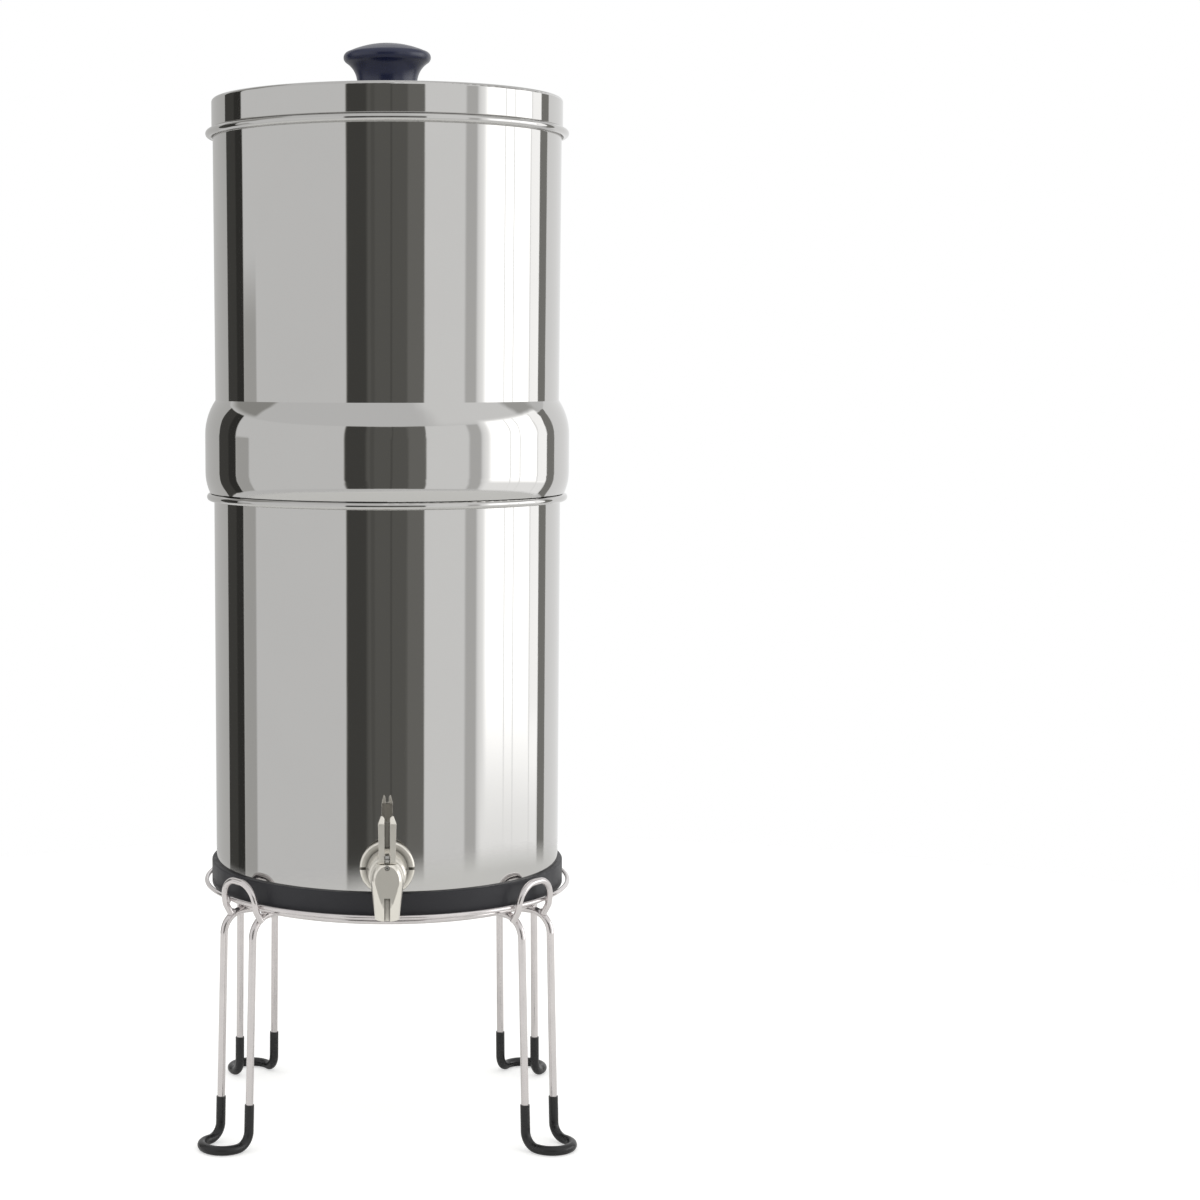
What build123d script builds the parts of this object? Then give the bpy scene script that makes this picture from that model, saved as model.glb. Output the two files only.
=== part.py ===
from build123d import *
import os
from math import acos, asin, cos, degrees, radians, sin, sqrt, tan

# Gravity water filter with tap: two stacked steel chambers on a wire stand.
# Millimetres. The origin is on the floor, on the vessel's axis. +Z is up, the tap faces -Y.

os.makedirs("parts", exist_ok=True)

# ---------------------------------------------------------------- driving dimensions

# Clearances
rest_gap = 0.3           # between a piece that lifts off and what it rests on
seat_gap = 0.05          # between round surfaces that are pushed or wrapped together
weld_gap = 0.15          # between wires of the stand that are welded together
run_gap = 0.08           # radial, between a moving shaft and its bore

# Wire stand
leg_wire = 4.6           # diameter of the legs' wire
leg_pitch = 25.5         # between the two uprights of one leg
leg_run_inset = 13.0     # where the runs under the support ring end, inside the ring
front_azimuth = 51.8     # where the legs stand, from the front and from the back
rear_azimuth = 50.5
front_outset = 9.7       # middle of a leg's uprights at the top, outside the support ring
rear_outset = 6.5
front_bend = 13.5        # bend of the wire's centre line at the top
rear_bend = 10.0
front_splay = 4.2        # how much further out the uprights stand at the floor
rear_splay = 2.0
front_turn = 8.0         # how far a foot points nearer to the front than its leg stands
rear_turn = 21.5         # or nearer to the back
foot_reach = 22.0        # how far a foot loop reaches past its uprights
foot_bend = 9.0          # bend from an upright into the foot loop
foot_straight = 0.15     # straight wire left beside a bend at the loop's two outer corners
sleeve_wall = 0.6        # black dipped sleeve on a foot loop
sleeve_height = 28.0     # how far the sleeve comes up the uprights
support_wire = 4.2
support_inset = 5.9      # support ring's centre line, inside the band's outer face
support_z = 147.15       # height of the support ring's centre line
retaining_wire = 2.8
retaining_outset = 3.4   # retaining ring's centre line, outside the band
retaining_lift = 4.0     # retaining ring above the support ring
hoop_wire = 4.0
hoop_width = 30.5
hoop_rise = 15.6         # hoop's top above the retaining ring
hoop_straight = 2.25     # straight wire left beside the bends at its top
hoop_lean = 8.0          # how far it leans out above the ring, in degrees
hoop_tuck = 31.0         # how far it turns in below the ring
hoop_knee = 6.0          # bend between those two parts
hoop_knee_drop = 3.0     # that bend, below the retaining ring
hoop_turn = 2.3          # how far a hoop stands nearer to the front or back than its leg

# Lower chamber
sheet = 0.8              # steel sheet of the chambers and the lid
lower_radius = 108.0
lower_height = 244.15
base_corner = 6.0
bead = 2.3               # section radius of a rolled rim
bead_centre_out = 2.2    # rim section's centre, outside the wall
rim_corner = 0.7         # rounding at the mouth

# Base band
band_wall = 2.85
band_height = 15.45
band_lip = 12.0          # width of the lip under the chamber
band_lip_thickness = 2.0
band_edge = 0.8          # rounding of the band's two outer edges

# Upper chamber, heights measured from the step that rests on the lower rim
nest_depth = 20.0
nest_clearance = 1.0     # radial, inside the lower chamber
nest_corner = 4.0
step_corner = 1.2        # edge of the step that rests on the lower rim
bulge_out = 5.4          # bulge, outside the lower chamber's wall
bulge_low = 13.0         # straight part of the bulge, from here
bulge_high = 36.0        # to here
bulge_low_arc = 32.0
bulge_high_arc = 38.0
shoulder_in = 6.5        # wall just above the bulge, inside the bulge
wall_flare = 0.6         # wall at the rim, outside the wall above the bulge
upper_height = 222.6

# Lid
lid_overhang = 0.7       # lid's skirt, outside the upper chamber's wall
lid_height = 18.3
lid_corner = 2.0
lid_step_corner = 1.0
plug_corner = 0.6
plug_depth = 12.0        # the part that drops inside the upper rim
plug_clearance = 0.9

# Lid knob
knob_radius = 26.8
knob_neck_in = 8.3        # neck, inside the knob's widest place
knob_neck_height = 11.0  # straight part of the neck
knob_height = 34.5
knob_rim_drop = 9.4      # widest place, below the knob's top
knob_edge_in = 2.8       # where the rounded rim meets the crown
knob_edge_drop = 5.1
knob_throat_in = 6.1     # middle of the throat between neck and rim
knob_throat_drop = 16.3
knob_lip_in = 1.6        # where the throat meets the rounded rim
knob_lip_drop = 11.7
knob_screw_radius = 2.5
insert_radius = 4.0
insert_length = 14.0
screw_length = 14.0
screw_head_radius = 4.75
screw_head_height = 2.8
screw_head_edge = 1.4
screw_recess_span = 4.6  # cross recess in the screw's head
screw_recess_width = 1.1
screw_recess_depth = 1.6
knob_washer_radius = 8.0
knob_washer_thickness = 1.2

# Candles
candle_gap = 12.7        # between the two candles' caps
candle_radius = 35.85
candle_wall = 9.5
candle_headroom = 29.3   # from the top of the dome to the upper chamber's rim
bond_thickness = 1.05    # between the candle's foot and the cap's wall
cap_height = 13.5
cap_wall = 1.75
cap_floor = 3.0
cap_edge = 0.8
bond_recess = 1.0
core_clearance = 0.3
core_cover = 15.0        # core left whole above its bore
stem_radius = 6.0
stem_length = 29.5
stem_bore = 2.5
thread_pitch = 1.5
thread_depth = 0.75
stem_hole_clearance = 0.4
washer_radius = 14.0
washer_thickness = 2.5
wing_nut_radius = 10.5
wing_nut_height = 10.0
wing_span = 19.0         # from the nut's axis to a wing's tip
wing_foot_span = 14.0    # and where the wing is narrowest, at the bottom
wing_top_drop = 2.0
wing_bottom_drop = 15.0
wing_corner = 2.5
wing_thickness = 4.0

# Tap
gasket_lift = 1.25       # between the band's top and the outer gasket
tap_hole_clearance = 0.5
shank_radius = 7.75
shank_length = 21.0      # from the flange's back face
shank_bore = 4.0
flange_radius = 16.2
flange_thickness = 3.6
flange_edge = 1.4
flange_notch_width = 1.6
flange_notch_depth = 3.6
flange_notch_sink = 1.5
gasket_radius = 14.5
gasket_thickness = 3.2   # where it is thinnest, in front of the chamber's wall
inner_gasket_thickness = 1.2
lock_nut_width = 24.0    # across flats
lock_nut_height = 6.0
lock_nut_chamfer = 0.9
neck_root_radius = 12.0
neck_radius = 11.0
neck_end = 5.0           # neck's end, behind the spout's axis
neck_edge = 3.0
spout_reach = 32.5       # spout's axis, in front of the chamber wall
spout_radius = 9.7       # widest place of the spout
spout_shoulder_drop = 2.5
spout_tip_radius = 7.05
spout_tip_drop = 24.0    # tip, below the shank's axis
spout_brow_radius = 8.9  # point on the rounding between shoulder and top
spout_brow_rise = 3.7
spout_top_wall = 1.05    # round the bonnet, at the top face
spout_top_rise = 8.5     # top face, above the shank's axis
facet_depth_top = 6.3    # flat on the spout's front: from the axis, at the top
facet_end_drop = 17.5    # where the flat runs out
spout_groove_width = 3.4
spout_groove_height = 13.5
spout_groove_depth = 1.3
outlet_radius = 4.2
outlet_length = 12.0
seat_hole_radius = 3.2
seat_thickness = 1.5
chamber_radius = 4.9     # valve chamber in the spout
seat_washer_radius = 4.4
seat_washer_thickness = 2.2
stem_disc_thickness = 1.2
valve_stem_radius = 1.5
bonnet_height = 5.0
bonnet_chamfer = 0.4
grub_drop = 1.55         # grub screw's axis, below the spout's top
grub_radius = 1.25
grub_seat = 3.6          # grub screw's inner end, from the spout's axis
grub_countersink = 1.5   # radius of the ring round the grub screw
grub_countersink_depth = 0.5
spring_wire = 0.6
spring_radius = 3.2
spring_turns = 5
lever_width = 10.6       # at the tips
lever_heel_width = 9.7
lever_height = 28.3
lever_depth = 8.0
lever_crest_in = 2.8     # lever's highest line, behind its front
lever_neck_depth = 6.4   # lever's depth just under the tips
lever_gap = 3.0          # channel between the lever's two walls
lever_web = 2.4
lever_web_rise = 8.2     # lowest place of the web, above the lever's heel
lever_web_drop = 4.5     # web's top, below the lever's tips
lever_point = 5.0        # length of the pointed tips
lever_point_in = 1.9     # tips' points, in from the outer faces
lever_point_dip = 2.0    # how far the walls' inner edges lie below the points
lever_heel_gap = 0.3
heel_offset = 3.9        # lever's heel line, in front of the spout's axis
eye_thickness = 2.2
eye_radius = 2.6
pin_radius = 1.1
pin_rise = 2.9           # cross pin above the lever's heel
pin_play = 0.45          # play of the pin in the stem's slot, up and down
lever_open_angle = 50.0

# ---------------------------------------------------------------- worked out from them

leg_radius = leg_wire / 2
sleeve_radius = leg_radius + sleeve_wall
foot_z = sleeve_radius
foot_corner = min(foot_reach - foot_bend, leg_pitch / 2) - foot_straight
hoop_corner = min(hoop_rise, hoop_width / 2) - hoop_straight
retaining_z = support_z + retaining_lift

band_base_z = support_z + support_wire / 2 + rest_gap
lower_base_z = band_base_z + band_lip_thickness
lower_rim_z = lower_base_z + lower_height
band_radius = lower_radius + seat_gap + band_wall
support_radius = band_radius - support_inset
retaining_radius = band_radius + retaining_outset
front_radius = support_radius + front_outset
rear_radius = support_radius + rear_outset

upper_seat_z = lower_rim_z + rest_gap
upper_base_z = upper_seat_z - nest_depth
nest_radius = lower_radius - sheet - nest_clearance
bulge_radius = lower_radius + bulge_out
shoulder_radius = bulge_radius - shoulder_in
upper_radius = shoulder_radius + wall_flare
upper_rim_z = upper_seat_z + upper_height

lid_seat_z = upper_rim_z + rest_gap
lid_top_z = lid_seat_z + lid_height
plug_radius = upper_radius - sheet - plug_clearance
lid_radius = upper_radius + lid_overhang

cap_z = upper_base_z + sheet + washer_thickness
cap_radius = candle_radius + bond_thickness + cap_wall
candle_spacing = 2 * cap_radius + candle_gap
candle_top_z = upper_rim_z - candle_headroom
ceramic_z = cap_z + cap_floor
stem_tip_z = cap_z - stem_length

tap_height = band_height - band_lip_thickness + gasket_lift + gasket_radius
tap_z = lower_base_z + tap_height
flange_back_y = -(lower_radius + gasket_thickness)
spout_y = -(lower_radius + spout_reach)
spout_top_radius = chamber_radius + spout_top_wall
spout_top_z = tap_z + spout_top_rise
spout_tip_z = tap_z - spout_tip_drop
seat_z = spout_tip_z + outlet_length + seat_thickness
valve_disc_z = seat_z + seat_washer_thickness
bonnet_z = spout_top_z - bonnet_height
heel_z = spout_top_z + lever_heel_gap
pin_z = heel_z + pin_rise
heel_y = spout_y - heel_offset
grub_z = spout_top_z - grub_drop
grub_front_y = spout_y - facet_depth_top + grub_countersink_depth

# Each leg: the middle line that it is mirrored from, the sense of its angles from there, and
# its azimuth, turn, radius, splay and top bend.
front_leg = (front_azimuth, front_turn, front_radius, front_splay, front_bend)
rear_leg = (rear_azimuth, rear_turn, rear_radius, rear_splay, rear_bend)
leg_places = {
    "front_left": (270, -1, *front_leg),
    "front_right": (270, 1, *front_leg),
    "rear_left": (90, 1, *rear_leg),
    "rear_right": (90, -1, *rear_leg),
}


# ---------------------------------------------------------------- profiles


def rolled_rim(wall_radius, rim_z):
    """A rim that rolls outwards over the top of a wall, as a sketch in the XZ plane."""
    centre_r = wall_radius + bead_centre_out
    with BuildSketch(Plane.XZ) as rim:
        with Locations((centre_r, rim_z - bead)):
            Circle(bead)
        with BuildLine():
            Polyline(
                (wall_radius - sheet, rim_z - bead),
                (wall_radius - sheet, rim_z),
                (centre_r, rim_z),
                (centre_r, rim_z - bead),
                close=True,
            )
        make_face()
        mouth = rim.vertices().sort_by(Axis.X)[0:2].sort_by(Axis.Y)[-1]
        fillet(mouth, rim_corner)
    return rim.sketch


def plan_point(direction, outward, sideways):
    """A point in plan, from a direction and the distances along it and across it."""
    angle = radians(direction)
    x = outward * cos(angle) - sideways * sin(angle)
    y = outward * sin(angle) + sideways * cos(angle)
    return Vector(x, y, 0)


def bend_centre(upright_radius, bend):
    """Radius and height of the centre of an upright's top bend, with the support ring on it."""
    centre_radius = upright_radius - bend
    ring_reach = bend + leg_radius + support_wire / 2 + weld_gap
    ring_out = max(support_radius - centre_radius, 0)
    return centre_radius, support_z - sqrt(ring_reach**2 - ring_out**2)


def leg_half(place, side):
    """Corners of one half of a leg's wire: end of its run, top, foot and tip of the loop."""
    middle, sense, azimuth, turn, radius, splay, bend = place
    direction = middle + sense * azimuth
    foot_direction = middle + sense * (azimuth - turn)
    beside = plan_point(foot_direction, 0, side)
    top = plan_point(direction, radius, 0) + beside
    foot = plan_point(direction, radius + splay, 0) + beside
    tip = foot + plan_point(foot_direction, foot_reach, 0)
    run = Vector(0, 0, bend_centre(top.length, bend)[1] + bend)
    floor = Vector(0, 0, foot_z)
    return [top.normalized() * (support_radius - leg_run_inset) + run, top + run, foot + floor, tip + floor]


# ---------------------------------------------------------------- wire stand

with BuildPart() as support_ring:
    with BuildSketch(Plane.XZ):
        with Locations((support_radius, support_z)):
            Circle(support_wire / 2)
    revolve(axis=Axis.Z)
support_ring.part.label = "support_ring"
export_step(support_ring.part, "parts/support_ring.step")

with BuildPart() as retaining_ring:
    with BuildSketch(Plane.XZ):
        with Locations((retaining_radius, retaining_z)):
            Circle(retaining_wire / 2)
    revolve(axis=Axis.Z)
retaining_ring.part.label = "retaining_ring"
export_step(retaining_ring.part, "parts/retaining_ring.step")

for name, place in leg_places.items():
    first = leg_half(place, -leg_pitch / 2)
    second = leg_half(place, leg_pitch / 2)
    bends = [place[-1], foot_bend, foot_corner]
    with BuildPart() as leg:
        with BuildLine() as leg_path:
            FilletPolyline(*first, *second[::-1], radius=bends + bends[::-1])
        with BuildSketch(Plane(origin=leg_path.line @ 0, z_dir=leg_path.line % 0)):
            Circle(leg_radius)
        sweep()
    leg.part.label = f"leg_{name}"
    export_step(leg.part, f"parts/leg_{name}.step")

    # The sleeve starts part of the way down the uprights.
    for half in (first, second):
        top = half[1]
        foot = half[2]
        half[0:2] = [top + (foot - top) * ((top.Z - sleeve_height) / (top.Z - foot.Z))]
    bends = [foot_bend, foot_corner]
    with BuildPart() as sleeve:
        with BuildLine() as sleeve_path:
            FilletPolyline(*first, *second[::-1], radius=bends + bends[::-1])
        with BuildSketch(Plane(origin=sleeve_path.line @ 0, z_dir=sleeve_path.line % 0)):
            Circle(sleeve_radius)
            Circle(leg_radius + seat_gap, mode=Mode.SUBTRACT)
        sweep()
    sleeve.part.label = f"foot_sleeve_{name}"
    export_step(sleeve.part, f"parts/foot_sleeve_{name}.step")

# A hoop touches the retaining ring from outside and stands on the bend of its leg's outer
# upright.
hoop_radius = hoop_wire / 2
half_width = hoop_width / 2
lean = radians(hoop_lean)
tuck = radians(hoop_tuck)
ring_r = sqrt(retaining_radius**2 - half_width**2)
hoop_r = ring_r + (retaining_wire / 2 + hoop_radius + seat_gap) / cos(lean)
knee_r = hoop_r - hoop_knee_drop * tan(lean)
knee_z = retaining_z - hoop_knee_drop
hoop_top = hoop_rise - hoop_radius
for name, place in leg_places.items():
    middle, sense, azimuth = place[:3]
    bend = place[-1]
    outer_top = leg_half(place, sense * leg_pitch / 2)[1]
    centre_r, centre_z = bend_centre(sqrt(outer_top.X**2 + outer_top.Y**2), bend)
    # length below the knee, from the corner of the wire's end that meets the leg's bend
    rim_r = knee_r - hoop_radius * cos(tuck) - sqrt(centre_r**2 - half_width**2)
    rim_z = knee_z + hoop_radius * sin(tuck) - centre_z
    along = rim_r * sin(tuck) + rim_z * cos(tuck)
    reach = bend + leg_radius + weld_gap
    below = along - sqrt(max(along**2 - (rim_r**2 + rim_z**2 - reach**2), 0))
    profile = [
        (knee_r - below * sin(tuck), knee_z - below * cos(tuck)),
        (knee_r, knee_z),
        (hoop_r + hoop_top * tan(lean), retaining_z + hoop_top),
    ]
    direction = middle + sense * (azimuth - hoop_turn)
    first = [plan_point(direction, r, -half_width) + Vector(0, 0, z) for r, z in profile]
    second = [plan_point(direction, r, half_width) + Vector(0, 0, z) for r, z in profile]
    bends = [hoop_knee, hoop_corner]
    with BuildPart() as hoop:
        with BuildLine() as hoop_path:
            FilletPolyline(*first, *second[::-1], radius=bends + bends[::-1])
        with BuildSketch(Plane(origin=hoop_path.line @ 0, z_dir=hoop_path.line % 0)):
            Circle(hoop_radius)
        sweep()
    hoop.part.label = f"hoop_{name}"
    export_step(hoop.part, f"parts/hoop_{name}.step")

# ---------------------------------------------------------------- lower vessel

with BuildPart() as lower_chamber:
    with BuildSketch(Plane.XZ):
        with BuildLine():
            FilletPolyline(
                (0, lower_base_z),
                (lower_radius, lower_base_z),
                (lower_radius, lower_rim_z - bead),
                radius=base_corner,
            )
            offset(amount=-sheet, side=Side.LEFT)
        make_face()
        add(rolled_rim(lower_radius, lower_rim_z))
    revolve(axis=Axis.Z)
    with BuildSketch(Plane.XZ):
        with Locations((0, tap_z)):
            Circle(shank_radius + tap_hole_clearance)
    extrude(amount=lower_radius + bead, mode=Mode.SUBTRACT)
lower_chamber.part.label = "lower_chamber"
export_step(lower_chamber.part, "parts/lower_chamber.step")

with BuildPart() as base_band:
    inner = lower_radius + seat_gap
    corner = base_corner + seat_gap
    with BuildSketch(Plane.XZ):
        with BuildLine():
            bottom = Polyline(
                (inner, band_base_z + band_height),
                (band_radius, band_base_z + band_height),
                (band_radius, band_base_z),
                (inner - band_lip, band_base_z),
                (inner - band_lip, lower_base_z),
                (inner - corner, lower_base_z),
            )
            bend = CenterArc((inner - corner, lower_base_z + corner), corner, -90, 90)
            Line(bend @ 1, bottom @ 0)
        make_face()
        fillet(vertices().sort_by(Axis.X)[-2:], band_edge)
    revolve(axis=Axis.Z)
base_band.part.label = "base_band"
export_step(base_band.part, "parts/base_band.step")

# The tap's two gaskets are flat on the tap's side and follow the chamber's curve on the other.
with BuildPart() as tap_gasket_outer:
    with BuildSketch(Plane.XZ.offset(-flange_back_y)):
        with Locations((0, tap_z)):
            Circle(gasket_radius)
            Circle(shank_radius + seat_gap, mode=Mode.SUBTRACT)
    extrude(amount=-2 * gasket_radius)
    with BuildSketch(Plane.XY.offset(lower_base_z)):
        Circle(lower_radius + seat_gap)
    extrude(amount=2 * tap_height, mode=Mode.SUBTRACT)
tap_gasket_outer.part.label = "tap_gasket_outer"
export_step(tap_gasket_outer.part, "parts/tap_gasket_outer.step")

inner_wall = lower_radius - sheet - seat_gap
nut_face_y = -(sqrt(inner_wall**2 - gasket_radius**2) - inner_gasket_thickness)
with BuildPart() as tap_gasket_inner:
    with BuildSketch(Plane.XZ.offset(-nut_face_y)):
        with Locations((0, tap_z)):
            Circle(gasket_radius)
            Circle(shank_radius + seat_gap, mode=Mode.SUBTRACT)
    extrude(amount=2 * gasket_radius)
    with BuildSketch(Plane.XY.offset(lower_base_z)):
        Circle(inner_wall)
    extrude(amount=2 * tap_height, mode=Mode.INTERSECT)
tap_gasket_inner.part.label = "tap_gasket_inner"
export_step(tap_gasket_inner.part, "parts/tap_gasket_inner.step")

with BuildPart() as tap_lock_nut:
    with BuildSketch(Plane.XZ.offset(-nut_face_y)):
        with Locations((0, tap_z)):
            RegularPolygon(lock_nut_width / 2, 6, major_radius=False)
            Circle(shank_radius + seat_gap, mode=Mode.SUBTRACT)
    extrude(amount=-lock_nut_height)
    outer = tap_lock_nut.faces().sort_by(Axis.Y)[-1].outer_wire().edges()
    chamfer(outer, lock_nut_chamfer)
tap_lock_nut.part.label = "tap_lock_nut"
export_step(tap_lock_nut.part, "parts/tap_lock_nut.step")

with BuildPart() as tap_body:
    # shank and flange
    with BuildSketch(Plane.XZ.offset(-flange_back_y)):
        with Locations((0, tap_z)):
            Circle(shank_radius)
    extrude(amount=-shank_length)
    with BuildSketch(Plane.XZ.offset(-flange_back_y)):
        with Locations((0, tap_z)):
            Circle(flange_radius)
    extrude(amount=flange_thickness)
    rim_edge = tap_body.edges().filter_by(GeomType.CIRCLE).group_by(Axis.Y)[0]
    fillet(rim_edge, flange_edge)
    # neck between flange and spout
    neck_root = Plane.XZ.offset(-flange_back_y + flange_thickness)
    with BuildSketch(neck_root):
        with Locations((0, tap_z)):
            Circle(neck_root_radius)
    with BuildSketch(Plane.XZ.offset(-spout_y - neck_end)):
        with Locations((0, tap_z)):
            Circle(neck_radius)
    loft()
    fillet(tap_body.edges().filter_by(GeomType.CIRCLE).group_by(Axis.Y)[0], neck_edge)
    # spout, turned about its own upright axis
    with BuildSketch(Plane.XZ.offset(-spout_y)):
        with BuildLine():
            shoulder_z = tap_z - spout_shoulder_drop
            side = Polyline(
                (0, spout_top_z),
                (0, spout_tip_z),
                (spout_tip_radius, spout_tip_z),
                (spout_radius, shoulder_z),
            )
            brow = ThreePointArc(
                side @ 1,
                (spout_brow_radius, tap_z + spout_brow_rise),
                (spout_top_radius, spout_top_z),
            )
            Line(brow @ 1, side @ 0)
        make_face()
    revolve(axis=Axis(origin=(0, spout_y, 0), direction=(0, 0, 1)))
    # flat down the spout's front
    facet_end_z = tap_z - facet_end_drop
    facet_end_r = spout_tip_radius + (spout_radius - spout_tip_radius) * (
        facet_end_z - spout_tip_z
    ) / (shoulder_z - spout_tip_z)
    with BuildSketch(Plane.YZ.offset(-spout_radius)):
        with BuildLine():
            Polyline(
                (spout_y - facet_depth_top, spout_top_z),
                (spout_y - facet_end_r, facet_end_z),
                (spout_y - 2 * spout_radius, facet_end_z),
                (spout_y - 2 * spout_radius, spout_top_z),
                close=True,
            )
        make_face()
    extrude(amount=2 * spout_radius, mode=Mode.SUBTRACT)
    # groove at the tip of the flat
    groove_front = spout_y - spout_radius
    groove_back = spout_y - spout_tip_radius + spout_groove_depth
    with BuildSketch(Plane.XY.offset(spout_tip_z)):
        with Locations((0, (groove_front + groove_back) / 2)):
            Rectangle(spout_groove_width, groove_back - groove_front)
    extrude(amount=spout_groove_height, mode=Mode.SUBTRACT)
    # valve chamber, seat, outlet and inlet
    with BuildSketch(Plane.XY.offset(seat_z)):
        with Locations((0, spout_y)):
            Circle(chamber_radius)
    extrude(amount=spout_top_z - seat_z, mode=Mode.SUBTRACT)
    with BuildSketch(Plane.XY.offset(spout_tip_z)):
        with Locations((0, spout_y)):
            Circle(seat_hole_radius)
    extrude(amount=spout_top_z - spout_tip_z, mode=Mode.SUBTRACT)
    with BuildSketch(Plane.XY.offset(spout_tip_z)):
        with Locations((0, spout_y)):
            Circle(outlet_radius)
    extrude(amount=outlet_length, mode=Mode.SUBTRACT)
    with BuildSketch(Plane.XZ.offset(-spout_y)):
        with Locations((0, tap_z)):
            Circle(shank_bore)
    extrude(amount=-(spout_reach + shank_length), mode=Mode.SUBTRACT)
    # notches for a flange spanner
    with BuildSketch(neck_root):
        for x in (-flange_radius, flange_radius):
            with Locations((x, tap_z)):
                Rectangle(2 * flange_notch_depth, flange_notch_width)
    extrude(amount=-flange_notch_sink, mode=Mode.SUBTRACT)
    # hole of the grub screw and the countersink in front of it
    with BuildSketch(Plane.XZ.offset(-spout_y)):
        with Locations((0, grub_z)):
            Circle(grub_radius + seat_gap)
    extrude(amount=spout_radius, mode=Mode.SUBTRACT)
    with BuildSketch(Plane.XZ.offset(-grub_front_y)):
        with Locations((0, grub_z)):
            Circle(grub_countersink)
    extrude(amount=spout_radius, mode=Mode.SUBTRACT)
tap_body.part.label = "tap_body"
export_step(tap_body.part, "parts/tap_body.step")

grub_length = spout_y - grub_seat - grub_front_y
with BuildPart() as tap_grub_screw:
    with BuildSketch(Plane.XZ.offset(-grub_front_y)):
        with Locations((0, grub_z)):
            Circle(grub_radius)
    extrude(amount=-grub_length)
    with BuildSketch(Plane.XZ.offset(-grub_front_y)):
        with Locations((0, grub_z)):
            RegularPolygon(grub_radius / 2, 6)
    extrude(amount=-grub_length / 2, mode=Mode.SUBTRACT)
tap_grub_screw.part.label = "tap_grub_screw"
export_step(tap_grub_screw.part, "parts/tap_grub_screw.step")

with BuildPart() as tap_bonnet:
    with BuildSketch(Plane.XY.offset(bonnet_z)):
        with Locations((0, spout_y)):
            Circle(chamber_radius - seat_gap)
            Circle(valve_stem_radius + run_gap, mode=Mode.SUBTRACT)
    extrude(amount=bonnet_height)
    chamfer(tap_bonnet.edges().group_by(Axis.Z)[-1].sort_by(SortBy.RADIUS)[-1], bonnet_chamfer)
    # dimple for the grub screw's end
    with BuildSketch(Plane.XZ.offset(-spout_y + grub_seat - seat_gap)):
        with Locations((0, grub_z)):
            Circle(grub_radius + seat_gap)
    extrude(amount=chamber_radius, mode=Mode.SUBTRACT)
tap_bonnet.part.label = "tap_bonnet"
export_step(tap_bonnet.part, "parts/tap_bonnet.step")

# ---------------------------------------------------------------- valve and lever

with BuildPart() as tap_seat_washer:
    with BuildSketch(Plane.XY.offset(seat_z)):
        with Locations((0, spout_y)):
            Circle(seat_washer_radius)
    extrude(amount=seat_washer_thickness)
tap_seat_washer.part.label = "tap_seat_washer"
export_step(tap_seat_washer.part, "parts/tap_seat_washer.step")

# As the lever tips forward about its heel, the cross pin rises and moves forward.
tilt = radians(lever_open_angle)
pin_forward = heel_offset - (heel_offset * cos(tilt) - pin_rise * sin(tilt))
pin_lift = heel_offset * sin(tilt) + pin_rise * cos(tilt) - pin_rise
slot_height = 2 * (pin_radius + pin_play)
slot_length = pin_forward + slot_height
eye_z = pin_z - eye_radius
with BuildPart() as tap_stem:
    with BuildSketch(Plane.XY.offset(valve_disc_z)):
        with Locations((0, spout_y)):
            Circle(seat_washer_radius)
    extrude(amount=stem_disc_thickness)
    with BuildSketch(Plane.XY.offset(valve_disc_z)):
        with Locations((0, spout_y)):
            Circle(valve_stem_radius)
    extrude(amount=eye_z + eye_radius / 2 - valve_disc_z)
    with BuildSketch(Plane.YZ.offset(-eye_thickness / 2)):
        with Locations((spout_y - pin_forward / 2, pin_z)):
            SlotOverall(pin_forward + 2 * eye_radius, 2 * eye_radius)
    extrude(amount=eye_thickness)
    with BuildSketch(Plane.YZ.offset(-eye_thickness)):
        with Locations((spout_y - pin_forward / 2, pin_z)):
            SlotOverall(slot_length, slot_height)
    extrude(amount=2 * eye_thickness, mode=Mode.SUBTRACT)
tap_stem.part.label = "tap_stem"
export_step(tap_stem.part, "parts/tap_stem.step")

spring_bottom_z = valve_disc_z + stem_disc_thickness + spring_wire / 2 + seat_gap
spring_top_z = bonnet_z - spring_wire / 2 - seat_gap
spring_pitch = (spring_top_z - spring_bottom_z) / spring_turns
with BuildPart() as tap_spring:
    with BuildLine(Plane(origin=(0, spout_y, spring_bottom_z))) as coil:
        Helix(pitch=spring_pitch, height=spring_top_z - spring_bottom_z, radius=spring_radius)
    with BuildSketch(Plane(origin=coil.line @ 0, z_dir=coil.line % 0)):
        Circle(spring_wire / 2)
    sweep()
tap_spring.part.label = "tap_spring"
export_step(tap_spring.part, "parts/tap_spring.step")

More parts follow.
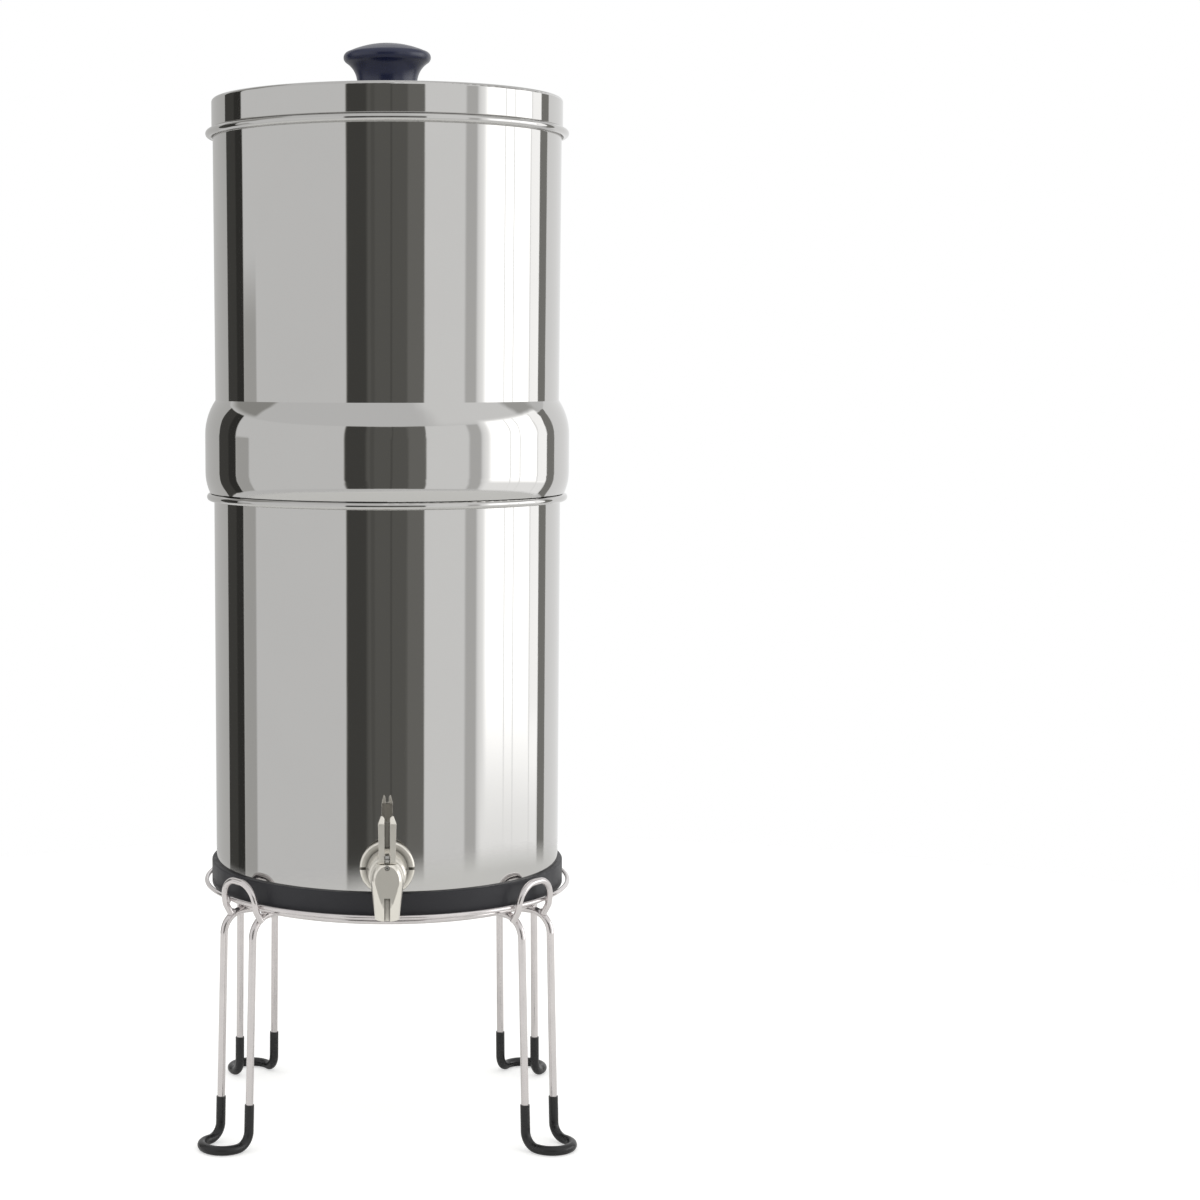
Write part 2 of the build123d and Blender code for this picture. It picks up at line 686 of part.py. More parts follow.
lever_tip_z = heel_z + lever_height
lever_back_y = heel_y + lever_depth
lever_crest_y = heel_y + lever_crest_in
lever_neck_y = heel_y + lever_neck_depth
with BuildPart() as tap_lever:
    # seen from the side
    with BuildSketch(Plane.YZ.offset(-lever_width / 2)):
        with BuildLine():
            Polyline(
                (heel_y, heel_z),
                (heel_y, lever_tip_z - lever_point),
                (lever_crest_y, lever_tip_z),
                (lever_neck_y, lever_tip_z - lever_point),
                (lever_back_y, heel_z + lever_web_rise),
                (lever_back_y, heel_z),
                close=True,
            )
        make_face()
    extrude(amount=lever_width)
    # seen from the front: wider at the top, with a point on each wall
    with BuildSketch(Plane.XZ.offset(-lever_back_y)):
        with BuildLine():
            flank = [
                (lever_heel_width / 2, heel_z),
                (lever_width / 2, lever_tip_z - lever_point),
                (lever_width / 2 - lever_point_in, lever_tip_z),
                (lever_gap / 2, lever_tip_z - lever_point_dip),
            ]
            Polyline(*flank, *[(-x, z) for x, z in flank[::-1]], close=True)
        make_face()
    extrude(amount=lever_depth, mode=Mode.INTERSECT)
    # channel, open to the front; the web behind it ends above the stem's eye
    with BuildSketch(Plane.YZ.offset(-lever_gap / 2)):
        with BuildLine():
            Polyline(
                (heel_y, heel_z),
                (heel_y, lever_tip_z),
                (lever_back_y, lever_tip_z),
                (lever_back_y, lever_tip_z - lever_web_drop),
                (lever_neck_y - lever_web, lever_tip_z - lever_web_drop),
                (lever_back_y - lever_web, heel_z + lever_web_rise),
                (lever_back_y, heel_z + lever_web_rise),
                (lever_back_y, heel_z),
                close=True,
            )
        make_face()
    extrude(amount=lever_gap, mode=Mode.SUBTRACT)
    with BuildSketch(Plane.YZ.offset(-lever_width / 2)):
        with Locations((spout_y, pin_z)):
            Circle(pin_radius)
    extrude(amount=lever_width, mode=Mode.SUBTRACT)
tap_lever.part.label = "tap_lever"
export_step(tap_lever.part, "parts/tap_lever.step")

with BuildPart() as lever_pin:
    with BuildSketch(Plane.YZ.offset(-lever_heel_width / 2)):
        with Locations((spout_y, pin_z)):
            Circle(pin_radius)
    extrude(amount=lever_heel_width)
lever_pin.part.label = "lever_pin"
export_step(lever_pin.part, "parts/lever_pin.step")

# ---------------------------------------------------------------- upper vessel

# Wall line of the bulge: lower arc, straight, upper arc, then the drafted wall.
low_angle = degrees(asin(bulge_low / bulge_low_arc))
high_angle = degrees(acos(1 - (bulge_radius - shoulder_radius) / bulge_high_arc))
with BuildPart() as upper_chamber:
    with BuildSketch(Plane.XZ):
        with BuildLine() as wall:
            low = CenterArc(
                (bulge_radius - bulge_low_arc, upper_seat_z + bulge_low),
                bulge_low_arc,
                -low_angle,
                low_angle,
            )
            high = CenterArc(
                (bulge_radius - bulge_high_arc, upper_seat_z + bulge_high),
                bulge_high_arc,
                0,
                high_angle,
            )
            FilletPolyline(
                (0, upper_base_z),
                (nest_radius, upper_base_z),
                (nest_radius, upper_seat_z),
                low @ 0,
                radius=[nest_corner, step_corner],
            )
            Line(low @ 1, high @ 0)
            Line(high @ 1, (upper_radius, upper_rim_z - bead))
            offset(amount=-sheet, side=Side.LEFT)
        make_face()
        add(rolled_rim(upper_radius, upper_rim_z))
    revolve(axis=Axis.Z)
    with BuildSketch(Plane.XY.offset(upper_base_z)):
        with GridLocations(candle_spacing, 0, 2, 1):
            Circle(stem_radius + stem_hole_clearance)
    extrude(amount=sheet, mode=Mode.SUBTRACT)
upper_chamber.part.label = "upper_chamber"
export_step(upper_chamber.part, "parts/upper_chamber.step")

for side_name, x in (("left", -candle_spacing / 2), ("right", candle_spacing / 2)):
    candle_axis = Axis(origin=(x, 0, 0), direction=(0, 0, 1))
    dome_z = candle_top_z - candle_radius
    inner_radius = candle_radius - candle_wall
    with BuildPart() as candle_shell:
        with BuildSketch(Plane.XZ):
            with BuildLine():
                outside = Polyline(
                    (x + inner_radius, ceramic_z),
                    (x + candle_radius, ceramic_z),
                    (x + candle_radius, dome_z),
                )
                dome = CenterArc((x, dome_z), candle_radius, 0, 90)
                crown = Line(dome @ 1, (x, dome_z + inner_radius))
                hollow = CenterArc((x, dome_z), inner_radius, 90, -90)
                Line(hollow @ 1, outside @ 0)
            make_face()
        revolve(axis=candle_axis)
    candle_shell.part.label = f"candle_shell_{side_name}"
    export_step(candle_shell.part, f"parts/candle_shell_{side_name}.step")

    core_radius = inner_radius - core_clearance
    with BuildPart() as candle_core:
        with BuildSketch(Plane.XY.offset(ceramic_z)):
            with Locations((x, 0)):
                Circle(core_radius)
        extrude(amount=dome_z - ceramic_z)
        with BuildSketch(Plane.XY.offset(ceramic_z)):
            with Locations((x, 0)):
                Circle(stem_bore)
        extrude(amount=dome_z - ceramic_z - core_cover, mode=Mode.SUBTRACT)
    candle_core.part.label = f"candle_core_{side_name}"
    export_step(candle_core.part, f"parts/candle_core_{side_name}.step")

    with BuildPart() as candle_cap:
        with BuildSketch(Plane.XY.offset(cap_z)):
            with Locations((x, 0)):
                Circle(cap_radius)
        extrude(amount=cap_height)
        fillet(candle_cap.edges().group_by(Axis.Z)[0], cap_edge)
        with BuildSketch(Plane.XY.offset(cap_z + cap_floor)):
            with Locations((x, 0)):
                Circle(cap_radius - cap_wall)
        extrude(amount=cap_height, mode=Mode.SUBTRACT)
        # Hollow stem with a ribbed outline in place of the thread's helix.
        with BuildSketch(Plane.XZ):
            root = stem_radius - thread_depth
            ribs = int((stem_length - 2 * thread_pitch) / thread_pitch)
            outline = [(x + stem_bore, stem_tip_z), (x + root, stem_tip_z)]
            for rib in range(ribs):
                z = stem_tip_z + thread_pitch * (rib + 0.5)
                outline.append((x + root, z))
                outline.append((x + stem_radius, z + thread_pitch / 2))
            outline.append((x + root, outline[-1][1] + thread_pitch / 2))
            outline.append((x + root, cap_z))
            outline.append((x + stem_bore, cap_z))
            with BuildLine():
                Polyline(*outline, close=True)
            make_face()
        revolve(axis=candle_axis)
        with BuildSketch(Plane.XY.offset(cap_z)):
            with Locations((x, 0)):
                Circle(stem_bore)
        extrude(amount=cap_floor, mode=Mode.SUBTRACT)
    candle_cap.part.label = f"candle_cap_{side_name}"
    export_step(candle_cap.part, f"parts/candle_cap_{side_name}.step")

    with BuildPart() as candle_bond:
        with BuildSketch(Plane.XY.offset(ceramic_z)):
            with Locations((x, 0)):
                Circle(cap_radius - cap_wall - seat_gap)
                Circle(candle_radius + seat_gap, mode=Mode.SUBTRACT)
        extrude(amount=cap_height - cap_floor - bond_recess)
    candle_bond.part.label = f"candle_bond_{side_name}"
    export_step(candle_bond.part, f"parts/candle_bond_{side_name}.step")

    with BuildPart() as candle_washer:
        with BuildSketch(Plane.XY.offset(upper_base_z + sheet)):
            with Locations((x, 0)):
                Circle(washer_radius)
                Circle(stem_radius + seat_gap, mode=Mode.SUBTRACT)
        extrude(amount=washer_thickness)
    candle_washer.part.label = f"candle_washer_{side_name}"
    export_step(candle_washer.part, f"parts/candle_washer_{side_name}.step")

    with BuildPart() as wing_nut:
        with BuildSketch(Plane.XY.offset(upper_base_z - wing_nut_height)):
            with Locations((x, 0)):
                Circle(wing_nut_radius)
        extrude(amount=wing_nut_height)
        with BuildSketch(Plane.XZ.offset(-wing_thickness / 2)):
            with BuildLine():
                FilletPolyline(
                    (x - wing_span, upper_base_z - wing_top_drop),
                    (x + wing_span, upper_base_z - wing_top_drop),
                    (x + wing_foot_span, upper_base_z - wing_bottom_drop),
                    (x - wing_foot_span, upper_base_z - wing_bottom_drop),
                    radius=wing_corner,
                    close=True,
                )
            make_face()
        extrude(amount=wing_thickness)
        with BuildSketch(Plane.XY.offset(upper_base_z - wing_bottom_drop)):
            with Locations((x, 0)):
                Circle(stem_radius + seat_gap)
        extrude(amount=wing_bottom_drop, mode=Mode.SUBTRACT)
        with BuildSketch(Plane.XY.offset(upper_base_z - wing_bottom_drop)):
            with Locations((x, 0)):
                Circle(wing_nut_radius)
        extrude(amount=wing_bottom_drop - wing_nut_height, mode=Mode.SUBTRACT)
    wing_nut.part.label = f"wing_nut_{side_name}"
    export_step(wing_nut.part, f"parts/wing_nut_{side_name}.step")

# ---------------------------------------------------------------- lid

with BuildPart() as lid:
    with BuildSketch(Plane.XZ):
        with BuildLine():
            FilletPolyline(
                (0, lid_top_z),
                (lid_radius, lid_top_z),
                (lid_radius, lid_seat_z),
                (plug_radius, lid_seat_z),
                (plug_radius, lid_seat_z - plug_depth),
                radius=[lid_corner, lid_step_corner, plug_corner],
            )
            offset(amount=sheet, side=Side.RIGHT)
        make_face()
    revolve(axis=Axis.Z)
    with BuildSketch(Plane.XY.offset(lid_top_z)):
        Circle(knob_screw_radius + seat_gap)
    extrude(amount=-2 * sheet, mode=Mode.SUBTRACT)
lid.part.label = "lid"
export_step(lid.part, "parts/lid.step")

knob_top_z = lid_top_z + knob_height
knob_edge_radius = knob_radius - knob_edge_in
crown_radius = (knob_edge_radius**2 + knob_edge_drop**2) / (2 * knob_edge_drop)
crown_angle = degrees(asin(knob_edge_radius / crown_radius))
with BuildPart() as lid_knob:
    with BuildSketch(Plane.XZ):
        with BuildLine():
            foot = Polyline(
                (0, lid_top_z),
                (knob_radius - knob_neck_in, lid_top_z),
                (knob_radius - knob_neck_in, lid_top_z + knob_neck_height),
            )
            crown = CenterArc(
                (0, knob_top_z - crown_radius),
                crown_radius,
                90 - crown_angle,
                crown_angle,
            )
            throat = ThreePointArc(
                foot @ 1,
                (knob_radius - knob_throat_in, knob_top_z - knob_throat_drop),
                (knob_radius - knob_lip_in, knob_top_z - knob_lip_drop),
            )
            ThreePointArc(throat @ 1, (knob_radius, knob_top_z - knob_rim_drop), crown @ 0)
            Line(crown @ 1, foot @ 0)
        make_face()
    revolve(axis=Axis.Z)
    with BuildSketch(Plane.XY.offset(lid_top_z)):
        Circle(insert_radius + seat_gap)
    extrude(amount=insert_length + seat_gap, mode=Mode.SUBTRACT)
lid_knob.part.label = "lid_knob"
export_step(lid_knob.part, "parts/lid_knob.step")

with BuildPart() as knob_insert:
    with BuildSketch(Plane.XY.offset(lid_top_z)):
        Circle(insert_radius)
        Circle(knob_screw_radius + seat_gap, mode=Mode.SUBTRACT)
    extrude(amount=insert_length)
knob_insert.part.label = "knob_insert"
export_step(knob_insert.part, "parts/knob_insert.step")

lid_under_z = lid_top_z - sheet
with BuildPart() as knob_washer:
    with BuildSketch(Plane.XY.offset(lid_under_z)):
        Circle(knob_washer_radius)
        Circle(knob_screw_radius + seat_gap, mode=Mode.SUBTRACT)
    extrude(amount=-knob_washer_thickness)
knob_washer.part.label = "knob_washer"
export_step(knob_washer.part, "parts/knob_washer.step")

screw_seat_z = lid_under_z - knob_washer_thickness
with BuildPart() as knob_screw:
    with BuildSketch(Plane.XY.offset(screw_seat_z)):
        Circle(screw_head_radius)
    extrude(amount=-screw_head_height)
    fillet(knob_screw.edges().group_by(Axis.Z)[0], screw_head_edge)
    with BuildSketch(Plane.XY.offset(screw_seat_z)):
        Circle(knob_screw_radius)
    extrude(amount=screw_length)
    with BuildSketch(Plane.XY.offset(screw_seat_z - screw_head_height)):
        Rectangle(screw_recess_span, screw_recess_width)
        Rectangle(screw_recess_width, screw_recess_span)
    extrude(amount=screw_recess_depth, mode=Mode.SUBTRACT)
knob_screw.part.label = "knob_screw"
export_step(knob_screw.part, "parts/knob_screw.step")

print(f"support ring at {support_z:.2f}, band from {band_base_z:.2f}, tap at {tap_z:.2f}")
print(f"lower rim {lower_rim_z:.2f}, upper rim {upper_rim_z:.2f}, lid top {lid_top_z:.2f}")
print(f"lever heel y {heel_y:.3f} z {heel_z:.3f}, lift {pin_lift:.3f} over {lever_open_angle}")
print(f"bonnet underside {bonnet_z:.2f}, stem tip {stem_tip_z:.2f}, seat {seat_z:.2f}")
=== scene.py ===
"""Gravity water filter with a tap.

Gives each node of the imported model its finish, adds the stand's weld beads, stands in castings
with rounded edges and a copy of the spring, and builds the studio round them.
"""

import logging
import math
from dataclasses import dataclass, field
from enum import Enum

import bmesh
import bpy
from mathutils import Matrix, Vector
from mathutils.bvhtree import BVHTree


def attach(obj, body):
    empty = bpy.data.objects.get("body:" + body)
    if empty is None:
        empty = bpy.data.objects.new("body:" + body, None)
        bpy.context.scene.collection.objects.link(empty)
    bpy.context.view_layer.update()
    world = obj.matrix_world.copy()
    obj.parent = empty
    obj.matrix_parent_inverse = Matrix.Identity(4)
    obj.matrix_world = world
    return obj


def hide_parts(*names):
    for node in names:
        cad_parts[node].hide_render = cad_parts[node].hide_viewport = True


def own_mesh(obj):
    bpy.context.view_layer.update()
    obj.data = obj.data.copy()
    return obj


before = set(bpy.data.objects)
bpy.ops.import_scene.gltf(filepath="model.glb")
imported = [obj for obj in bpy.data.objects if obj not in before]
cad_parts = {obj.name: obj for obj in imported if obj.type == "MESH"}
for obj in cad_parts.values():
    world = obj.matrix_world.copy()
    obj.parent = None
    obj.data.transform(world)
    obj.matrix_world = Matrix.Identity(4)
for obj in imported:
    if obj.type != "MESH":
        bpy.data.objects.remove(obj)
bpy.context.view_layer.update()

MM = 0.001
PLACES = ("front_left", "front_right", "rear_left", "rear_right")
SIDES = ("left", "right")
LOG = logging.getLogger("water_filter")

# The mottle's noise, and the span that most of its values lie in.
MOTTLE_DETAIL = 3.0
MOTTLE_ROUGHNESS = 0.55
MOTTLE_LOW = 0.35
MOTTLE_HIGH = 0.65

# Where the Mix node keeps its two inputs and its output, by the kind of data that it mixes.
MIX_SOCKETS = {"FLOAT": (2, 3, 0), "RGBA": (6, 7, 2)}
# The vector operations whose answer is a plain number.
NUMBER_ANSWERS = ("LENGTH", "DOT_PRODUCT")

Colour = tuple[float, float, float, float]
Node = bpy.types.Node
Socket = bpy.types.NodeSocket
Tree = bpy.types.NodeTree
Value = Socket | float | tuple[float, ...]


# ---------------------------------------------------------------- helpers


def linear(hex_colour: str) -> Colour:
    """Turns an sRGB colour into the linear one that a shader takes, by the sRGB standard.

    Args:
        hex_colour: the colour as "#RRGGBB".

    Returns:
        Linear red, green, blue and an alpha of 1.
    """
    channels = [int(hex_colour[i : i + 2], 16) / 255 for i in (1, 3, 5)]
    values = [c / 12.92 if c <= 0.04045 else ((c + 0.055) / 1.055) ** 2.4 for c in channels]
    return (*values, 1.0)


def per_metre(millimetres: float) -> float:
    """Texture scale, in features per metre, of a pattern with that real spacing in mm."""
    return 1 / (millimetres * MM)


def add_object(name: str, data: bpy.types.ID) -> bpy.types.Object:
    """Makes an object and puts it into the scene.

    Args:
        name: the object's name.
        data: its mesh, lamp or camera data.

    Returns:
        The object.
    """
    made = bpy.data.objects.new(name, data)
    bpy.context.scene.collection.objects.link(made)
    return made


def feed(tree: Tree, node: Node, inputs: dict[str | int, Value]) -> None:
    """Links or sets the inputs of a node.

    Args:
        tree: the node tree that the node is in.
        node: the node.
        inputs: what each input takes, by its name or number. A socket is linked to the
            input, and a plain value is set on it.
    """
    for key, value in inputs.items():
        if isinstance(value, Socket):
            tree.links.new(value, node.inputs[key])
        else:
            node.inputs[key].default_value = value


def add_node(
    tree: Tree, kind: str, inputs: dict[str | int, Value] | None = None, **settings: str | int
) -> Node:
    """Adds a node and sets it up.

    Args:
        tree: the node tree that the node goes into.
        kind: Blender's type name of the node, such as "ShaderNodeMath".
        inputs: what each input takes, as feed() says.
        settings: the node's own attributes.

    Returns:
        The new node.
    """
    node = tree.nodes.new(kind)
    for name, setting in settings.items():
        setattr(node, name, setting)
    feed(tree, node, inputs or {})
    return node


def calculate(tree: Tree, operation: str, *values: Socket | float) -> Socket:
    """One step of arithmetic on numbers."""
    return add_node(
        tree, "ShaderNodeMath", dict(enumerate(values)), operation=operation
    ).outputs[0]


def calculate_vector(tree: Tree, operation: str, *vectors: Value) -> Socket:
    """One step of arithmetic on vectors, whose answer is a vector or a number."""
    node = add_node(tree, "ShaderNodeVectorMath", dict(enumerate(vectors)), operation=operation)
    return node.outputs["Value" if operation in NUMBER_ANSWERS else "Vector"]


def in_plan(tree: Tree, place: Socket) -> Socket:
    """Drops a place onto the horizontal plane, so it points away from the vertical axis."""
    return calculate_vector(tree, "MULTIPLY", place, (1.0, 1.0, 0.0))


def mix(tree: Tree, data_type: str, share: Socket | float, first: Value, second: Value) -> Socket:
    """Mixes two numbers or two colours.

    Args:
        tree: the node tree.
        data_type: "FLOAT" for numbers or "RGBA" for colours.
        share: how much of the second one there is, from 0 to 1.
        first: the one at a share of 0.
        second: the one at a share of 1.

    Returns:
        The mixture.
    """
    first_input, second_input, output = MIX_SOCKETS[data_type]
    inputs = {0: share, first_input: first, second_input: second}
    return add_node(tree, "ShaderNodeMix", inputs, data_type=data_type).outputs[output]


def remap(
    tree: Tree,
    value: Socket,
    low: float,
    high: float,
    at_low: float = 0.0,
    at_high: float = 1.0,
    **settings: str,
) -> Socket:
    """Turns one span of values into another, and holds it at the ends.

    Args:
        tree: the node tree.
        value: the value to turn.
        low: one end of its span.
        high: the other end.
        at_low: what low becomes.
        at_high: what high becomes.
        settings: the node's own attributes.

    Returns:
        The new value.
    """
    inputs = {0: value, 1: low, 2: high, 3: at_low, 4: at_high}
    return add_node(tree, "ShaderNodeMapRange", inputs, **settings).outputs[0]


def noise(
    tree: Tree, place: Socket, spacing_mm: float, detail: float = 2.0, roughness: float = 0.5
) -> Socket:
    """Makes noise with a real spacing.

    Args:
        tree: the node tree.
        place: object coordinates, in metres.
        spacing_mm: the spacing of the noise.
        detail: how many finer layers it has.
        roughness: how strong they are.

    Returns:
        The noise, from 0 to 1.
    """
    scale = per_metre(spacing_mm)
    inputs = {"Vector": place, "Scale": scale, "Detail": detail, "Roughness": roughness}
    return add_node(tree, "ShaderNodeTexNoise", inputs).outputs["Fac"]


# ---------------------------------------------------------------- finishes


@dataclass(frozen=True)
class Finish:
    """What every surface has: a name, a colour, a roughness and a fine relief.

    The two colours are the ends of a soft mottle, and so are the two roughnesses. The relief
    is noise with a real grain size and depth.
    """

    name: str
    colour: str
    second_colour: str
    roughness: float
    second_roughness: float
    mottle_mm: float
    grain_mm: float
    grain_depth_mm: float
    metallic: float = 0.0
    ior: float = 1.5
    subsurface: float = 0.0
    subsurface_mm: float = 1.0

    def build(self) -> bpy.types.Material:
        """Makes the finish as a Blender material.

        Returns:
            The finished material.
        """
        material = bpy.data.materials.new(self.name)
        material.use_nodes = True
        tree = material.node_tree
        shader = tree.nodes["Principled BSDF"]
        uniform = {
            "Metallic": self.metallic,
            "IOR": self.ior,
            "Subsurface Weight": self.subsurface,
            "Subsurface Scale": self.subsurface_mm * MM,
        }
        feed(tree, shader, uniform)
        place = add_node(tree, "ShaderNodeTexCoord").outputs["Object"]
        mottle = noise(tree, place, self.mottle_mm, MOTTLE_DETAIL, MOTTLE_ROUGHNESS)
        self.paint(tree, shader, mottle)
        bump = add_node(
            tree,
            "ShaderNodeBump",
            {"Height": self.relief(tree, place), "Distance": self.grain_depth_mm * MM},
        )
        feed(tree, shader, {"Normal": bump.outputs["Normal"]})
        return material

    def paint(self, tree: Tree, shader: Node, mottle: Socket) -> None:
        """Links colour and roughness to the shader.

        Args:
            tree: the material's node tree.
            shader: its Principled node.
            mottle: slow noise from 0 to 1.
        """
        colour = mix(tree, "RGBA", mottle, linear(self.colour), linear(self.second_colour))
        roughness = remap(
            tree, mottle, MOTTLE_LOW, MOTTLE_HIGH, self.roughness, self.second_roughness
        )
        feed(tree, shader, {"Base Color": colour, "Roughness": roughness})

    def relief(self, tree: Tree, place: Socket) -> Socket:
        """Height of the surface's grain, from 0 to 1, at object coordinates in metres."""
        return noise(tree, place, self.grain_mm)


@dataclass(frozen=True)
class SpunFinish(Finish):
    """A metal worked while it turns about the vertical axis, so its marks are rings.

    ring_mm is the spacing of the rings, and ring_share is how much of the relief they make.
    """

    ring_mm: float = 1.0
    ring_share: float = 0.5

    def relief(self, tree: Tree, place: Socket) -> Socket:
        """Makes the height of the surface: rings about the axis over a soft waviness.

        Args:
            tree: the material's node tree.
            place: object coordinates, in metres.

        Returns:
            The height, from 0 to 1.
        """
        radius = calculate_vector(tree, "LENGTH", in_plan(tree, place))
        rings = add_node(
            tree,
            "ShaderNodeTexNoise",
            {"W": radius, "Scale": per_metre(self.ring_mm)},
            noise_dimensions="1D",
        )
        waves = super().relief(tree, place)
        return mix(tree, "FLOAT", self.ring_share, waves, rings.outputs["Fac"])


@dataclass(frozen=True)
class VesselFinish(SpunFinish):
    """Sheet buffed on the outside only: walls that face the vertical axis stay satin.

    inner_starts and inner_full are the cosines, between a wall's facing and straight away from
    the axis, where the satin starts and where it is complete.
    """

    inner_roughness: float = 0.42
    inner_metallic: float = 0.72
    inner_starts: float = -0.3
    inner_full: float = -0.5

    def paint(self, tree: Tree, shader: Node, mottle: Socket) -> None:
        """Links colour, roughness and metal to the shader, with the inner walls satin.

        Args:
            tree: the material's node tree.
            shader: its Principled node.
            mottle: slow noise from 0 to 1.
        """
        super().paint(tree, shader, mottle)
        buffed = shader.inputs["Roughness"].links[0].from_socket
        coordinates = add_node(tree, "ShaderNodeTexCoord").outputs
        outward = calculate_vector(tree, "NORMALIZE", in_plan(tree, coordinates["Object"]))
        facing = calculate_vector(tree, "DOT_PRODUCT", outward, coordinates["Normal"])
        inside = remap(tree, facing, self.inner_starts, self.inner_full)
        roughness = mix(tree, "FLOAT", inside, buffed, self.inner_roughness)
        metallic = mix(tree, "FLOAT", inside, self.metallic, self.inner_metallic)
        feed(tree, shader, {"Roughness": roughness, "Metallic": metallic})


@dataclass(frozen=True)
class PlatedFinish(Finish):
    """A plated casting, with painted shade in its recesses: ambient occlusion darkens the colour
    there.

    recess_mm is how near the walls of a recess stand, and the painted shade in a recess has its
    own dark colour. A place from which more than recess_open of the directions are free has the
    full plating colour, and one from which less than recess_shut are free has only the painted
    shade colour. recess_samples directions are tried.
    """

    recess_mm: float = 4.0
    recess_shade_colour: str = "#4A463E"
    recess_open: float = 0.9
    recess_shut: float = 0.45
    recess_samples: int = 8

    def paint(self, tree: Tree, shader: Node, mottle: Socket) -> None:
        """Links colour and roughness to the shader, with painted shade darkening the recesses.

        Args:
            tree: the material's node tree.
            shader: its Principled node.
            mottle: slow noise from 0 to 1.
        """
        super().paint(tree, shader, mottle)
        plating = shader.inputs["Base Color"].links[0].from_socket
        # painted shade: ambient occlusion darkens the colour in the recesses
        painted_shade_openness = add_node(
            tree,
            "ShaderNodeAmbientOcclusion",
            {"Distance": self.recess_mm * MM},
            samples=self.recess_samples,
            only_local=True,
        )
        share = remap(tree, painted_shade_openness.outputs["AO"], self.recess_shut, self.recess_open)
        colour = mix(tree, "RGBA", share, linear(self.recess_shade_colour), plating)
        feed(tree, shader, {"Base Color": colour})


@dataclass(frozen=True)
class GranularFinish(Finish):
    """A pressed or fired powder: packed grains with open pores between them."""

    def relief(self, tree: Tree, place: Socket) -> Socket:
        """Makes the height of the surface: a bed of round grains.

        Args:
            tree: the material's node tree.
            place: object coordinates, in metres.

        Returns:
            The height, from 0 to 1.
        """
        grains = add_node(
            tree,
            "ShaderNodeTexVoronoi",
            {"Vector": place, "Scale": per_metre(self.grain_mm)},
            feature="SMOOTH_F1",
        )
        return grains.outputs["Distance"]


class Surface(Enum):
    """The finishes of the filter, by the record's slot names."""

    # Deep-drawn stainless steel sheet, mirror buffed: near-perfect reflections with a faint
    # hand-buffed haze, and the lazy waviness of thin sheet, about 60 mm from crest to crest.
    # Inner walls keep the satin of the drawing press.
    POLISHED_STEEL = "polished_steel"
    # Mild steel wire, drawn and nickel plated: bright and a little warm, but softer than
    # the sheet, because the draw marks show through the plating.
    STAND_WIRE = "stand_wire"
    # Zinc casting under pearl nickel and a flash of chrome: the plating scatters light, so it
    # is pale from every side, with soft highlights and the faint orange peel of a casting.
    # Recesses get painted shade: ambient occlusion darkens their colour.
    CHROME_PLATE = "chrome_plate"
    # Brass turned on a lathe: warm yellow with fine tool marks.
    TURNED_BRASS = "turned_brass"
    # Stainless fasteners, cold headed and tumbled: grey and satin.
    FASTENER_STEEL = "fastener_steel"
    # Compression-moulded nitrile rubber: near black, dull, with a bloom that greys it.
    BLACK_RUBBER = "black_rubber"
    # Phenolic resin, moulded in a polished tool: deep navy with a soft gloss.
    DARK_BLUE_PHENOLIC = "dark_blue_phenolic"
    # Plastisol dip: black, rounded and slightly wavy where it ran before it set.
    BLACK_VINYL = "black_vinyl"
    # Moulded silicone rubber: milky white, soft to the light.
    WHITE_SILICONE = "white_silicone"
    # Slip-cast diatomite ceramic, fired and unglazed: chalky and matt, with fine pores.
    FILTER_CERAMIC = "filter_ceramic"
    # Pressed block of activated carbon: black, coarse and dull.
    CARBON_BLOCK = "carbon_block"
    # White epoxy bead, poured and set: smooth, with a slight sag.
    WHITE_BOND = "white_bond"
    # Injection-moulded polypropylene, dyed blue: satin, a little translucent.
    BLUE_PLASTIC = "blue_plastic"


